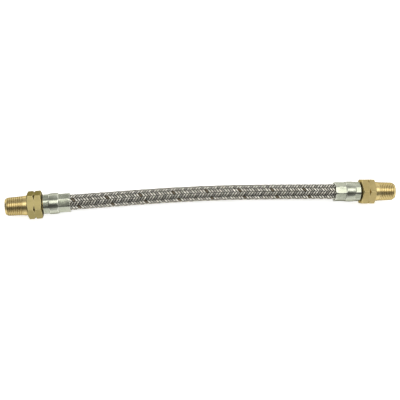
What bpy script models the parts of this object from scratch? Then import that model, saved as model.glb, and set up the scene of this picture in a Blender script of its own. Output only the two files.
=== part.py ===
"""Braided flexible steel hose with a crimped brass fitting on each end, lying on a flat surface.

Metres, +Z up, +X from the left fitting's tip to the right one's, +Y the side that the hose bows to.
Every station on a fitting or a ferrule is a distance from the fitting's tip, along its own axis.
"""
import math

import bmesh
import bpy
import numpy as np
from mathutils import Vector

# Whole hose
OVERALL_LENGTH = 0.300
BOW_HEIGHT = 0.0042
FITTING_TILT = math.radians(1.8)
CLEARANCE = 0.0003

# Male pipe thread, quarter inch: one helical ridge on a taper, running out before the hexagon
THREAD_TIP_RADIUS = 0.0057
THREAD_BASE_RADIUS = 0.0073
THREAD_TAPER = 1 / 32
THREAD_LENGTH = 0.0139
THREAD_PITCH = 0.0254 / 18
THREAD_DEPTH = 0.00085
THREAD_START = 0.00025
RUN_OUT_LENGTH = 0.0026
TIP_CHAMFER_LENGTH = 0.0018
SHANK_LENGTH = 0.0024
SHANK_RADIUS = 0.00745

# Hexagon with a turned groove round its middle
HEX_ACROSS_FLATS = 0.0187
HEX_LENGTH = 0.0110
HEX_CHAMFER = math.radians(25)
HEX_FRONT_FACE_RADIUS = 0.0085
HEX_BACK_FACE_RADIUS = 0.0089
HEX_GROOVE_HALF_ANGLE = math.radians(33)
HEX_GROOVE_RISE = 0.0001
CUTTER_MARGIN = 0.003

# Tail of the fitting, inside the ferrule and the inner tube
FERRULE_GAP = 0.0008
NECK_RADIUS = 0.0045
LOCK_RADIUS = 0.0054
LOCK_LENGTH = 0.0012
TAIL_LENGTH = 0.0152
BARB_COUNT = 3
BARB_PITCH = 0.0042
BARB_DEPTH = 0.0004
BARB_FRONT_LENGTH = 0.0005
TAIL_END_CHAMFER = 0.0012
BORE_RADIUS = 0.0026
MOUTH_BORE_RADIUS = 0.0036
MOUTH_BORE_LENGTH = 0.0135
MOUTH_CHAMFER = 0.0004

# Crimped ferrule, eight-sided bands on both sides of a round collar
FERRULE_LENGTH = 0.0200
FERRULE_FLANGE = 0.0016
FERRULE_WALL = 0.00093
BACK_BAND_LENGTH = 0.0041
COLLAR_LENGTH = 0.0076
COLLAR_RADIUS = 0.0079
COLLAR_BLEND = 0.0010
COLLAR_CROWN = 0.00012
BACK_BAND_RISE = 0.00012
WAIST_DEPTH = 0.00012
MOUTH_FLARE = 0.00015
MOUTH_LIP = 0.0005
EDGE_BREAK = 0.0003
FERRULE_SIDES = 8

# How each end is rolled about its own axis: the left hexagon lies on a flat, the right one on a corner
LEFT_HEX_ROLL = 0.0
RIGHT_HEX_ROLL = math.radians(18.3)
LEFT_FERRULE_TURN = math.radians(9.2)
RIGHT_FERRULE_TURN = math.radians(2.8)

# Inner tube and braid
TUBE_BORE_RADIUS = 0.0040
TUBE_WALL = 0.0012
BRAID_RELIEF = 0.00024
BRAID_WALL_UNDER_GAPS = 0.00013
BRAID_LAY = 0.02528
CARRIERS = 24
FLOAT_CROSSINGS = 2
WEAVE_TURN = math.radians(13.7)
BRAID_TUCK_LENGTH = 0.0020

# Faceting
TURNED_SIDES = 24
TUBE_SIDES = 16
POINTS_PER_FLAT = 3
TUBE_RINGS = 12

HEX_CORNER_RADIUS = HEX_ACROSS_FLATS / 2 / math.cos(math.pi / 6)
BLANK_RADIUS = HEX_CORNER_RADIUS / math.cos(math.pi / TURNED_SIDES) + CLEARANCE
HEX_START = THREAD_LENGTH + SHANK_LENGTH
HEX_END = HEX_START + HEX_LENGTH
FERRULE_START = HEX_END + FERRULE_GAP
MOUTH = FERRULE_START + FERRULE_LENGTH
LOCK_START = FERRULE_START + FERRULE_FLANGE + CLEARANCE
LOCK_END = LOCK_START + LOCK_LENGTH
HOSE_START = LOCK_END + CLEARANCE
TAIL_END = LOCK_END + TAIL_LENGTH
BARB_RADIUS = TUBE_BORE_RADIUS - CLEARANCE
TUBE_RADIUS = TUBE_BORE_RADIUS + TUBE_WALL
BRAID_INNER_RADIUS = TUBE_RADIUS + CLEARANCE
BRAID_RADIUS = BRAID_INNER_RADIUS + BRAID_WALL_UNDER_GAPS + BRAID_RELIEF
FERRULE_BORE_RADIUS = BRAID_RADIUS + CLEARANCE
BAND_RADIUS = FERRULE_BORE_RADIUS + FERRULE_WALL

BRASS = (0.62, 0.52, 0.27)
PLATED_STEEL = (0.66, 0.67, 0.60)
STAINLESS = (0.52, 0.50, 0.45)
BLACK_RUBBER = (0.035, 0.035, 0.035)


def clear_scene():
    for old in list(bpy.data.objects):
        bpy.data.objects.remove(old, do_unlink=True)


def make_material(name, colour, roughness, metallic):
    material = bpy.data.materials.new(name)
    material.use_nodes = True
    shader = material.node_tree.nodes["Principled BSDF"]
    shader.inputs["Base Color"].default_value = (*colour, 1)
    shader.inputs["Roughness"].default_value = roughness
    shader.inputs["Metallic"].default_value = metallic
    return material


def finish_object(name, mesh_builder, material, smooth_below=35):
    """Turn a bmesh into a named object with outward faces and smooth round stretches."""
    bmesh.ops.recalc_face_normals(mesh_builder, faces=mesh_builder.faces)
    mesh = bpy.data.meshes.new(name)
    mesh_builder.to_mesh(mesh)
    mesh_builder.free()
    mesh.materials.append(material)
    mesh.shade_smooth()
    mesh.set_sharp_from_angle(angle=math.radians(smooth_below))
    thing = bpy.data.objects.new(name, mesh)
    bpy.context.scene.collection.objects.link(thing)
    return thing


# The centreline: straight through each end, bowed between the two mouths

def mouth_x():
    return OVERALL_LENGTH / 2 - MOUTH * math.cos(FITTING_TILT)


def bow_at(x):
    """Sideways place of the centreline, level in slope with the fittings where it meets them."""
    reach = mouth_x()
    from_tip = OVERALL_LENGTH / 2 - abs(x)
    if abs(x) >= reach:
        return from_tip * math.tan(FITTING_TILT)
    start = MOUTH * math.sin(FITTING_TILT)
    rise = BOW_HEIGHT - start
    round_share = math.tan(FITTING_TILT) * 2 * reach / (math.pi * rise)
    wave = math.cos(math.pi / 2 * x / reach)
    return start + rise * (round_share * wave + (1 - round_share) * wave * wave)


def resting_height(roll):
    """Height of a hexagon's axis over the corner, or the flat, that it lies on."""
    return HEX_CORNER_RADIUS * math.cos(roll - math.pi / 6)


def height_at(x):
    """Level through each fitting, with an easy climb from the left one to the right one."""
    low = resting_height(LEFT_HEX_ROLL)
    high = resting_height(RIGHT_HEX_ROLL)
    along = (x / mouth_x() + 1) / 2
    along = min(1, max(0, along))
    return low + (high - low) * along * along * (3 - 2 * along)


def centre_at(x):
    return Vector((x, bow_at(x), height_at(x)))


class HoseRoute:
    """Places on the centreline by distance from the left tip."""

    def __init__(self, steps=3000):
        half = OVERALL_LENGTH / 2
        self.x = np.linspace(-half, half, steps + 1)
        points = np.array([centre_at(x) for x in self.x])
        legs = np.linalg.norm(np.diff(points, axis=0), axis=1)
        self.length_at = np.concatenate(([0], np.cumsum(legs)))
        self.total = float(self.length_at[-1])
        self.step = OVERALL_LENGTH / steps

    def frame(self, distance):
        x = float(np.interp(distance, self.length_at, self.x))
        centre = centre_at(x)
        ahead = (centre_at(x + self.step) - centre_at(x - self.step)).normalized()
        side = Vector((0, 0, 1)).cross(ahead).normalized()
        return centre, side, ahead.cross(side)

    def ring(self, distance, radii, turn):
        centre, side, up = self.frame(distance)
        count = len(radii)
        points = []
        for index, radius in enumerate(radii):
            angle = turn + 2 * math.pi * index / count
            points.append(centre + side * (radius * math.cos(angle)) + up * (radius * math.sin(angle)))
        return points


def close_rings(rings, splits=None):
    """A ring-shaped body through a closed loop of rings; splits picks each quad's diagonal."""
    builder = bmesh.new()
    grid = [[builder.verts.new(point) for point in ring] for ring in rings]
    count = len(rings[0])
    for row in range(len(grid)):
        near = grid[row]
        far = grid[(row + 1) % len(grid)]
        for column in range(count):
            beside = (column + 1) % count
            a, b, c, d = near[column], near[beside], far[beside], far[column]
            choice = splits(row, column) if splits else None
            if choice is None:
                builder.faces.new((a, b, c, d))
            elif choice:
                builder.faces.new((a, b, c))
                builder.faces.new((a, c, d))
            else:
                builder.faces.new((a, b, d))
                builder.faces.new((b, c, d))
    return builder


# Inner tube

def build_inner_tube(route, material):
    stations = np.linspace(HOSE_START, route.total - HOSE_START, TUBE_RINGS)
    outer = [route.ring(s, [TUBE_RADIUS] * TUBE_SIDES, 0) for s in stations]
    inner = [route.ring(s, [TUBE_BORE_RADIUS] * TUBE_SIDES, 0) for s in stations[::-1]]
    return finish_object("inner_tube", close_rings(outer + inner), material)


# Braid: a lattice with a high point on each crossing and a low one in each gap

def over_here(column, family):
    """Whether a strand of this family lies on top at this crossing column."""
    phase = column % (2 * FLOAT_CROSSINGS)
    on_top = phase < FLOAT_CROSSINGS
    return on_top if family == 0 else not on_top


def build_braid(route, material):
    row_step = BRAID_LAY / CARRIERS
    woven_length = route.total - 2 * MOUTH
    rows = 2 * round((woven_length / 2 + BRAID_TUCK_LENGTH) / row_step)
    first = route.total / 2 - rows / 2 * row_step
    crown = [BRAID_RADIUS] * CARRIERS
    outer = [route.ring(HOSE_START, crown, WEAVE_TURN)]
    for row in range(rows + 1):
        radii = []
        for column in range(CARRIERS):
            gap = (column + row) % 2 == 1
            radii.append(BRAID_RADIUS - BRAID_RELIEF if gap else BRAID_RADIUS)
        outer.append(route.ring(first + row * row_step, radii, WEAVE_TURN))
    outer.append(route.ring(route.total - HOSE_START, crown, WEAVE_TURN))
    stations = np.linspace(HOSE_START, route.total - HOSE_START, TUBE_RINGS)
    inner = [route.ring(s, [BRAID_INNER_RADIUS] * CARRIERS, WEAVE_TURN) for s in stations[::-1]]

    def splits(ring, column):
        row = ring - 1
        if row < 0 or row >= rows:
            return None
        family = (column + row) % 2
        ridge = over_here(column, family) and over_here(column + 1, family)
        rising = family == 0
        return rising if ridge else not rising

    return finish_object("braid_sleeve", close_rings(outer + inner, splits), material, 8)


# Crimped ferrule

def band_ring(across_radius, roundness, radius):
    """One ring of the ferrule: its eight flats, blended toward a circle by roundness."""
    count = FERRULE_SIDES * POINTS_PER_FLAT
    half_flat = math.pi / FERRULE_SIDES
    radii = []
    for index in range(count):
        from_corner = 2 * math.pi * (index % POINTS_PER_FLAT) / count
        flat = across_radius / math.cos(from_corner - half_flat)
        radii.append(flat * (1 - roundness) + radius * roundness)
    return radii


def ferrule_rings():
    back_end = FERRULE_START + BACK_BAND_LENGTH
    collar_end = back_end + COLLAR_LENGTH
    collar_middle = (back_end + collar_end) / 2
    waist = (collar_end + MOUTH) / 2
    back = BAND_RADIUS + BACK_BAND_RISE
    shoulder = COLLAR_RADIUS - COLLAR_CROWN
    outer = [
        (FERRULE_START, band_ring(back - EDGE_BREAK, 0, 0)),
        (FERRULE_START + EDGE_BREAK, band_ring(back, 0, 0)),
        (back_end, band_ring(back, 0, 0)),
        (back_end + COLLAR_BLEND, band_ring(back, 1, shoulder)),
        (collar_middle, band_ring(back, 1, COLLAR_RADIUS)),
        (collar_end - COLLAR_BLEND, band_ring(back, 1, shoulder)),
        (collar_end, band_ring(BAND_RADIUS, 0, 0)),
        (waist, band_ring(BAND_RADIUS - WAIST_DEPTH, 0, 0)),
        (MOUTH - MOUTH_LIP, band_ring(BAND_RADIUS + MOUTH_FLARE, 0, 0)),
        (MOUTH, band_ring(BAND_RADIUS + MOUTH_FLARE - EDGE_BREAK, 0, 0)),
    ]
    inner = [
        (MOUTH, band_ring(0, 1, FERRULE_BORE_RADIUS + EDGE_BREAK)),
        (MOUTH - MOUTH_LIP, band_ring(0, 1, FERRULE_BORE_RADIUS)),
        (FERRULE_START + FERRULE_FLANGE, band_ring(0, 1, FERRULE_BORE_RADIUS)),
        (FERRULE_START + FERRULE_FLANGE, band_ring(0, 1, NECK_RADIUS + CLEARANCE)),
        (FERRULE_START, band_ring(0, 1, NECK_RADIUS + CLEARANCE)),
    ]
    return outer + inner


def build_ferrule(name, material):
    half_flat = math.pi / FERRULE_SIDES
    rings = []
    for station, radii in ferrule_rings():
        ring = []
        for index, radius in enumerate(radii):
            angle = half_flat + 2 * math.pi * index / len(radii)
            ring.append(Vector((station, radius * math.sin(angle), radius * math.cos(angle))))
        rings.append(ring)
    return finish_object(name, close_rings(rings), material)


# Fitting: one turned brass piece, with its six flats milled afterwards

def hexagon_profile():
    """The round blank is a little larger than the hexagon's corners, which the flats then form."""
    cone_front = (BLANK_RADIUS - HEX_FRONT_FACE_RADIUS) * math.tan(HEX_CHAMFER)
    cone_back = (BLANK_RADIUS - HEX_BACK_FACE_RADIUS) * math.tan(HEX_CHAMFER)
    middle = (HEX_START + HEX_END) / 2
    groove_bottom = HEX_ACROSS_FLATS / 2 + HEX_GROOVE_RISE
    groove_half = (BLANK_RADIUS - groove_bottom) * math.tan(HEX_GROOVE_HALF_ANGLE)
    return [
        (HEX_START, HEX_FRONT_FACE_RADIUS),
        (HEX_START + cone_front, BLANK_RADIUS),
        (middle - groove_half, BLANK_RADIUS),
        (middle, groove_bottom),
        (middle + groove_half, BLANK_RADIUS),
        (HEX_END - cone_back, BLANK_RADIUS),
        (HEX_END, HEX_BACK_FACE_RADIUS),
    ]


def tail_profile():
    root = BARB_RADIUS - BARB_DEPTH
    points = [
        (HEX_END, NECK_RADIUS),
        (LOCK_START, NECK_RADIUS),
        (LOCK_START, LOCK_RADIUS),
        (LOCK_END, LOCK_RADIUS),
    ]
    first_barb = TAIL_END - TAIL_END_CHAMFER - (BARB_COUNT - 1) * BARB_PITCH
    points.append((LOCK_END, root))
    for barb in range(BARB_COUNT):
        crest = first_barb + barb * BARB_PITCH
        points.append((crest - BARB_FRONT_LENGTH, root))
        points.append((crest, BARB_RADIUS))
    points.append((TAIL_END, root))
    return points


def bore_profile():
    return [
        (TAIL_END, BORE_RADIUS),
        (MOUTH_BORE_LENGTH + MOUTH_BORE_RADIUS - BORE_RADIUS, BORE_RADIUS),
        (MOUTH_BORE_LENGTH, MOUTH_BORE_RADIUS),
        (MOUTH_CHAMFER, MOUTH_BORE_RADIUS),
        (0, MOUTH_BORE_RADIUS + MOUTH_CHAMFER),
    ]


def body_profile():
    """Everything but the thread, from the thread's end round through the bore to the tip."""
    shank = [(THREAD_LENGTH, SHANK_RADIUS), (HEX_START, SHANK_RADIUS)]
    return shank + hexagon_profile() + tail_profile() + bore_profile() + [(0, THREAD_TIP_RADIUS)]


def thread_radius(station, in_root):
    """Radius at a crest or a root: the taper, less the thread's depth, under the tip's chamfer."""
    crest = THREAD_BASE_RADIUS - (THREAD_LENGTH - station) * THREAD_TAPER
    left = min(1, (THREAD_LENGTH - station) / RUN_OUT_LENGTH)
    depth = THREAD_DEPTH * left * left * (3 - 2 * left) if in_root else 0
    chamfered = THREAD_BASE_RADIUS - (THREAD_LENGTH - TIP_CHAMFER_LENGTH) * THREAD_TAPER
    rise = (chamfered - THREAD_TIP_RADIUS) / TIP_CHAMFER_LENGTH
    return min(crest - depth, THREAD_TIP_RADIUS + rise * station)


def thread_rows():
    """Rows of points along the helix, crest and root in turn, for as many whole turns as fit."""
    turns = int((THREAD_LENGTH - THREAD_START) / THREAD_PITCH) - 1
    rows = []
    for half_turn in range(2 * turns + 1):
        row = []
        for column in range(TURNED_SIDES):
            share = (column + 0.5) / TURNED_SIDES
            station = THREAD_START + (half_turn / 2 + share) * THREAD_PITCH
            row.append(turned_point(station, thread_radius(station, half_turn % 2 == 1), column))
        rows.append(row)
    return rows


def turned_point(station, radius, column):
    angle = 2 * math.pi * (column + 0.5) / TURNED_SIDES
    return Vector((station, radius * math.sin(angle), radius * math.cos(angle)))


def join_fan(builder, centre, rim):
    for near, far in zip(rim, rim[1:]):
        builder.faces.new((centre, near, far))


def close_thread(builder, tip_ring, base_ring):
    """Skin the helix from the tip's ring to the shank's ring; each turn's end meets the next one's start."""
    grid = [[builder.verts.new(point) for point in row] for row in thread_rows()]
    last_row = len(grid) - 1
    last = TURNED_SIDES - 1
    for column in range(last):
        beside = column + 1
        builder.faces.new((tip_ring[column], tip_ring[beside], grid[0][beside], grid[0][column]))
        builder.faces.new((grid[last_row][column], grid[last_row][beside], base_ring[beside], base_ring[column]))
        for row in range(last_row):
            builder.faces.new((grid[row][column], grid[row][beside], grid[row + 1][beside], grid[row + 1][column]))
    for row in range(last_row - 2):
        builder.faces.new((grid[row][last], grid[row + 2][0], grid[row + 3][0], grid[row + 1][last]))
    join_fan(builder, grid[0][last], [tip_ring[last], tip_ring[0], grid[0][0], grid[1][0], grid[2][0]])
    rim = [base_ring[0], base_ring[last], grid[last_row][last], grid[last_row - 1][last], grid[last_row - 2][last]]
    join_fan(builder, grid[last_row][0], rim)


def build_flats_cutter():
    """A hexagonal ring: what it covers is milled off the turned blank."""
    inside = HEX_CORNER_RADIUS
    outside = BLANK_RADIUS + CUTTER_MARGIN
    rings = []
    for station, radius in (
        (HEX_START - CUTTER_MARGIN, inside),
        (HEX_START - CUTTER_MARGIN, outside),
        (HEX_END + CUTTER_MARGIN, outside),
        (HEX_END + CUTTER_MARGIN, inside),
    ):
        ring = []
        for corner in range(6):
            angle = math.pi / 6 + corner * math.pi / 3
            ring.append(Vector((station, radius * math.sin(angle), radius * math.cos(angle))))
        rings.append(ring)
    cutter = finish_object("flats_cutter", close_rings(rings), None)
    cutter.hide_render = True
    cutter.display_type = "WIRE"
    return cutter


def build_fitting(name, material, cutter):
    builder = bmesh.new()
    rings = []
    for station, radius in body_profile():
        rings.append([builder.verts.new(turned_point(station, radius, column)) for column in range(TURNED_SIDES)])
    for near, far in zip(rings, rings[1:]):
        for column in range(TURNED_SIDES):
            beside = (column + 1) % TURNED_SIDES
            builder.faces.new((near[column], near[beside], far[beside], far[column]))
    close_thread(builder, rings[-1], rings[0])
    fitting = finish_object(name, builder, material)
    flats = fitting.modifiers.new("flats", "BOOLEAN")
    flats.operation = "DIFFERENCE"
    flats.solver = "EXACT"
    flats.object = cutter
    return fitting


# Ends and assembly

def make_end(name, side, roll, ferrule_turn, materials):
    """An empty at the fitting's tip carries that end's fitting, its cutter and its ferrule."""
    x = side * OVERALL_LENGTH / 2
    tip = bpy.data.objects.new(name + "_tip", None)
    bpy.context.scene.collection.objects.link(tip)
    tip.location = (x, 0, height_at(x))
    tip.rotation_euler = (0, 0, FITTING_TILT if side < 0 else math.pi - FITTING_TILT)
    cutter = build_flats_cutter()
    cutter.name = name + "_flats_cutter"
    fitting = build_fitting(name + "_fitting", materials["brass"], cutter)
    ferrule = build_ferrule(name + "_ferrule", materials["plated"])
    for piece, turn in ((cutter, roll), (fitting, roll), (ferrule, ferrule_turn)):
        piece.parent = tip
        piece.rotation_euler = (turn, 0, 0)
    return tip


def stand_on_origin(roots):
    """Bring the bottom centre of the whole hose's box to the origin."""
    bpy.context.view_layer.update()
    graph = bpy.context.evaluated_depsgraph_get()
    corners = []
    for thing in bpy.context.scene.objects:
        if thing.type != "MESH" or thing.hide_render:
            continue
        mesh = thing.evaluated_get(graph).to_mesh()
        corners += [thing.matrix_world @ vertex.co for vertex in mesh.vertices]
    low = np.min(corners, axis=0)
    high = np.max(corners, axis=0)
    shift = Vector(((low[0] + high[0]) / 2, (low[1] + high[1]) / 2, low[2]))
    for root in roots:
        root.location -= shift


def main():
    clear_scene()
    materials = {
        "brass": make_material("brass", BRASS, 0.30, 1),
        "plated": make_material("plated_steel", PLATED_STEEL, 0.22, 1),
        "stainless": make_material("stainless_braid", STAINLESS, 0.35, 1),
        "rubber": make_material("black_rubber", BLACK_RUBBER, 0.75, 0),
    }
    route = HoseRoute()
    roots = [
        build_inner_tube(route, materials["rubber"]),
        build_braid(route, materials["stainless"]),
        make_end("left", -1, LEFT_HEX_ROLL, LEFT_FERRULE_TURN, materials),
        make_end("right", 1, RIGHT_HEX_ROLL, RIGHT_FERRULE_TURN, materials),
    ]
    stand_on_origin(roots)


main()
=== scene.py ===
"""Braided flexible steel hose with a crimped brass fitting on each end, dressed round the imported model.

Metres, +Z up, +X from the left fitting's tip to the right one's. A station on a fitting or a ferrule is
a distance from that fitting's tip, along its own axis.
"""
import math

import bmesh
import bpy
import numpy as np
from mathutils import Matrix, Vector


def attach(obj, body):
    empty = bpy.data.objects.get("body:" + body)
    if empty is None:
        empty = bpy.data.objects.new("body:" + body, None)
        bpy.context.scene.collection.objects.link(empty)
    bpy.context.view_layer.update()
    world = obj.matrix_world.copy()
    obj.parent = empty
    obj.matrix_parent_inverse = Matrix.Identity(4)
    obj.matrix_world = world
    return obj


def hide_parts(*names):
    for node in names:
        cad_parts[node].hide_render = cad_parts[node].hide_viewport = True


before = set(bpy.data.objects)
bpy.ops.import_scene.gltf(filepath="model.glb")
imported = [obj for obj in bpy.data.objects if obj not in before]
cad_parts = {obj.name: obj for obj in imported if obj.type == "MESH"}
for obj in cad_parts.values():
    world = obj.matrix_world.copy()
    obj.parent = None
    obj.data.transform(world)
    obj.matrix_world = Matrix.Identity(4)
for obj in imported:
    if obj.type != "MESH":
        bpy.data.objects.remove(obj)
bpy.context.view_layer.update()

# Whole hose, with the same sizes as the part's source
OVERALL_LENGTH = 0.300
BOW_HEIGHT = 0.0042
FITTING_TILT = math.radians(1.8)
BOX_SHIFT = (-0.0000005, -0.0006877, 0)
ROUTE_STEPS = 3000

# Male pipe thread
THREAD_TIP_RADIUS = 0.0057
THREAD_BASE_RADIUS = 0.0073
THREAD_TAPER = 1 / 32
THREAD_LENGTH = 0.0139
THREAD_PITCH = 0.0254 / 18
THREAD_DEPTH = 0.0004
THREAD_START = 0.00025
THREAD_TURNS = 8
RUN_OUT_LENGTH = 0.0026
TIP_CHAMFER_LENGTH = 0.0018
SHANK_LENGTH = 0.0024
SHANK_RADIUS = 0.00745

# Hexagon with a turned groove round its middle
HEX_APOTHEM = 0.00935
HEX_LENGTH = 0.0110
HEX_CHAMFER = math.radians(25)
HEX_FRONT_FACE_RADIUS = 0.0085
HEX_BACK_FACE_RADIUS = 0.0089
HEX_GROOVE_HALF_ANGLE = math.radians(33)
HEX_GROOVE_RISE = 0.0001
HEX_CORNER_ROUND = 0.00022

# Tail of the fitting
FERRULE_GAP = 0.0008
NECK_RADIUS = 0.0045
LOCK_RADIUS = 0.0054
LOCK_LENGTH = 0.0012
TAIL_LENGTH = 0.0152
BARB_COUNT = 3
BARB_PITCH = 0.0042
BARB_RADIUS = 0.0037
BARB_DEPTH = 0.0004
BARB_FRONT_LENGTH = 0.0005
TAIL_END_CHAMFER = 0.0012
BORE_RADIUS = 0.0026
MOUTH_BORE_RADIUS = 0.0036
MOUTH_BORE_LENGTH = 0.0135
MOUTH_CHAMFER = 0.0004
CLEARANCE = 0.0003

# Crimped ferrule
FERRULE_LENGTH = 0.0200
FERRULE_FLANGE = 0.0016
FERRULE_BORE_RADIUS = 0.00617
BAND_APOTHEM = 0.0071
BACK_BAND_APOTHEM = 0.00722
BACK_BAND_LENGTH = 0.0041
COLLAR_LENGTH = 0.0076
COLLAR_RADIUS = 0.0079
COLLAR_CROWN = 0.00022
DIE_SLOPE = 0.62
WAIST_DEPTH = 0.00012
MOUTH_FLARE = 0.00015
EDGE_BREAK = 0.0003
FERRULE_SIDES = 8
FERRULE_CORNER_ROUND = 0.0004
LEFT_FERRULE_SEED = 5
RIGHT_FERRULE_SEED = 11

# How each end is rolled about its own axis
LEFT_HEX_ROLL = 0.0
RIGHT_HEX_ROLL = math.radians(18.3)
LEFT_FERRULE_TURN = math.radians(9.2)
RIGHT_FERRULE_TURN = math.radians(2.8)

# Inner tube and braid
TUBE_BORE_RADIUS = 0.0040
TUBE_RADIUS = 0.0052
TUBE_SIDES = 64
TUBE_RINGS = 80
BRAID_LAY = 0.02528
CARRIERS = 24
BRAID_ROWS = 198
WEAVE_TURN = math.radians(13.7)
BRAID_MIDDLE_RADIUS = 0.00562
BRAID_SWING = 0.00017
STRAND_CROWN = 0.00017
WIRES_PER_STRAND = 5
WIRE_SPACING = 0.000235
WIRE_RADIUS = 0.000112
VALLEY_SHARE = 0.2
SAMPLES_PER_CROSSING = 4
TRACER_STRAND = 0
BRAID_SEED = 24

# Stations that follow from the sizes
HEX_CORNER_RADIUS = HEX_APOTHEM / math.cos(math.pi / 6)
HEX_START = THREAD_LENGTH + SHANK_LENGTH
HEX_END = HEX_START + HEX_LENGTH
FERRULE_START = HEX_END + FERRULE_GAP
COLLAR_START = FERRULE_START + BACK_BAND_LENGTH
COLLAR_END = COLLAR_START + COLLAR_LENGTH
MOUTH = FERRULE_START + FERRULE_LENGTH
LOCK_START = FERRULE_START + FERRULE_FLANGE + CLEARANCE
LOCK_END = LOCK_START + LOCK_LENGTH
HOSE_START = LOCK_END + CLEARANCE
TAIL_END = LOCK_END + TAIL_LENGTH

# View of the photograph
CAMERA_PLACE = (-0.059266, -0.091081, 0.568312)
CAMERA_TURN = (0.163653, -0.090766, -0.055229)
SENSOR_WIDTH = 36
FOCAL_LENGTH = 66.49


# Centreline, the same as in the part's source

def mouth_x():
    return OVERALL_LENGTH / 2 - MOUTH * math.cos(FITTING_TILT)


def bow_at(x):
    reach = mouth_x()
    from_tip = OVERALL_LENGTH / 2 - abs(x)
    if abs(x) >= reach:
        return from_tip * math.tan(FITTING_TILT)
    start = MOUTH * math.sin(FITTING_TILT)
    rise = BOW_HEIGHT - start
    round_share = math.tan(FITTING_TILT) * 2 * reach / (math.pi * rise)
    wave = math.cos(math.pi / 2 * x / reach)
    return start + rise * (round_share * wave + (1 - round_share) * wave * wave)


def resting_height(roll):
    return HEX_CORNER_RADIUS * math.cos(roll - math.pi / 6)


def height_at(x):
    low = resting_height(LEFT_HEX_ROLL)
    high = resting_height(RIGHT_HEX_ROLL)
    along = min(1, max(0, (x / mouth_x() + 1) / 2))
    return low + (high - low) * along * along * (3 - 2 * along)


class HoseRoute:
    """Places and directions on the centreline by distance from the left tip."""

    def __init__(self):
        half = OVERALL_LENGTH / 2
        x = np.linspace(-half, half, ROUTE_STEPS + 1)
        places = np.array([(value, bow_at(value), height_at(value)) for value in x])
        self.places = places + np.array(BOX_SHIFT)
        legs = np.linalg.norm(np.diff(self.places, axis=0), axis=1)
        self.distance = np.concatenate(([0], np.cumsum(legs)))
        self.total = float(self.distance[-1])
        ahead = np.gradient(self.places, axis=0)
        ahead /= np.linalg.norm(ahead, axis=1)[:, None]
        side = np.cross((0, 0, 1), ahead)
        self.side = side / np.linalg.norm(side, axis=1)[:, None]
        self.up = np.cross(ahead, self.side)

    def at(self, distance, table):
        return np.stack([np.interp(distance, self.distance, table[:, axis]) for axis in range(3)], axis=-1)

    def wrap(self, distance, angle, radius):
        """Points round the centreline, for arrays of distance, angle and radius."""
        centre = self.at(distance, self.places)
        side = self.at(distance, self.side) * (radius * np.cos(angle))[..., None]
        up = self.at(distance, self.up) * (radius * np.sin(angle))[..., None]
        return centre + side + up


# Mesh helpers

def grid_faces(rows, columns, ring_closed):
    """Quads between the rows of a grid of points; ring_closed joins each row's last point to its first."""
    last = columns if ring_closed else columns - 1
    row = np.arange(rows - 1)[:, None]
    column = np.arange(last)[None, :]
    beside = (column + 1) % columns
    corners = (row * columns + column, row * columns + beside,
               (row + 1) * columns + beside, (row + 1) * columns + column)
    return np.stack(np.broadcast_arrays(*corners), axis=-1).reshape(-1, 4)


def new_mesh(name, points, faces):
    """A smooth mesh from arrays of points and faces."""
    mesh = bpy.data.meshes.new(name)
    mesh.from_pydata(points.tolist(), [], [list(face) for face in faces])
    mesh.shade_smooth()
    return mesh


def add_object(name, mesh, material, place=None):
    """A piece in the row's axes; its materials find its own axes in the value own_place."""
    own = np.zeros(3 * len(mesh.vertices), np.float32)
    mesh.vertices.foreach_get("co", own)
    mesh.attributes.new("own_place", "FLOAT_VECTOR", "POINT").data.foreach_set("vector", own)
    if place is not None:
        mesh.transform(place)
    mesh.materials.append(material)
    thing = bpy.data.objects.new(name, mesh)
    bpy.context.scene.collection.objects.link(thing)
    return thing


def weld_and_face_out(mesh):
    """Join the points that lie on each other and turn every face outward."""
    builder = bmesh.new()
    builder.from_mesh(mesh)
    bmesh.ops.remove_doubles(builder, verts=builder.verts, dist=WELD_DISTANCE)
    bmesh.ops.dissolve_degenerate(builder, edges=builder.edges, dist=WELD_DISTANCE / 2)
    bmesh.ops.recalc_face_normals(builder, faces=builder.faces)
    builder.to_mesh(mesh)
    builder.free()


def mark_edges(mesh, sharp_angle):
    """Vertex values for worn outer edges and for inner corners, and sharp edges where faces meet steeply."""
    builder = bmesh.new()
    builder.from_mesh(mesh)
    builder.verts.ensure_lookup_table()
    worn = np.zeros(len(builder.verts))
    hollow = np.zeros(len(builder.verts))
    for edge in builder.edges:
        if len(edge.link_faces) != 2:
            continue
        bend = edge.calc_face_angle_signed(0)
        edge.smooth = abs(bend) < sharp_angle
        for vertex in edge.verts:
            worn[vertex.index] = max(worn[vertex.index], bend)
            hollow[vertex.index] = max(hollow[vertex.index], -bend)
    builder.to_mesh(mesh)
    builder.free()
    for name, values in (("worn_edge", worn), ("inner_corner", hollow)):
        layer = mesh.attributes.new(name, "FLOAT", "POINT")
        layer.data.foreach_set("value", np.clip(values / FULL_MARK_ANGLE, 0, 1))


WELD_DISTANCE = 1e-6
FULL_MARK_ANGLE = math.radians(22)
SHARP_ANGLE = math.radians(40)
FITTING_SHARP_ANGLE = math.radians(50)


# Turned profiles

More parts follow.
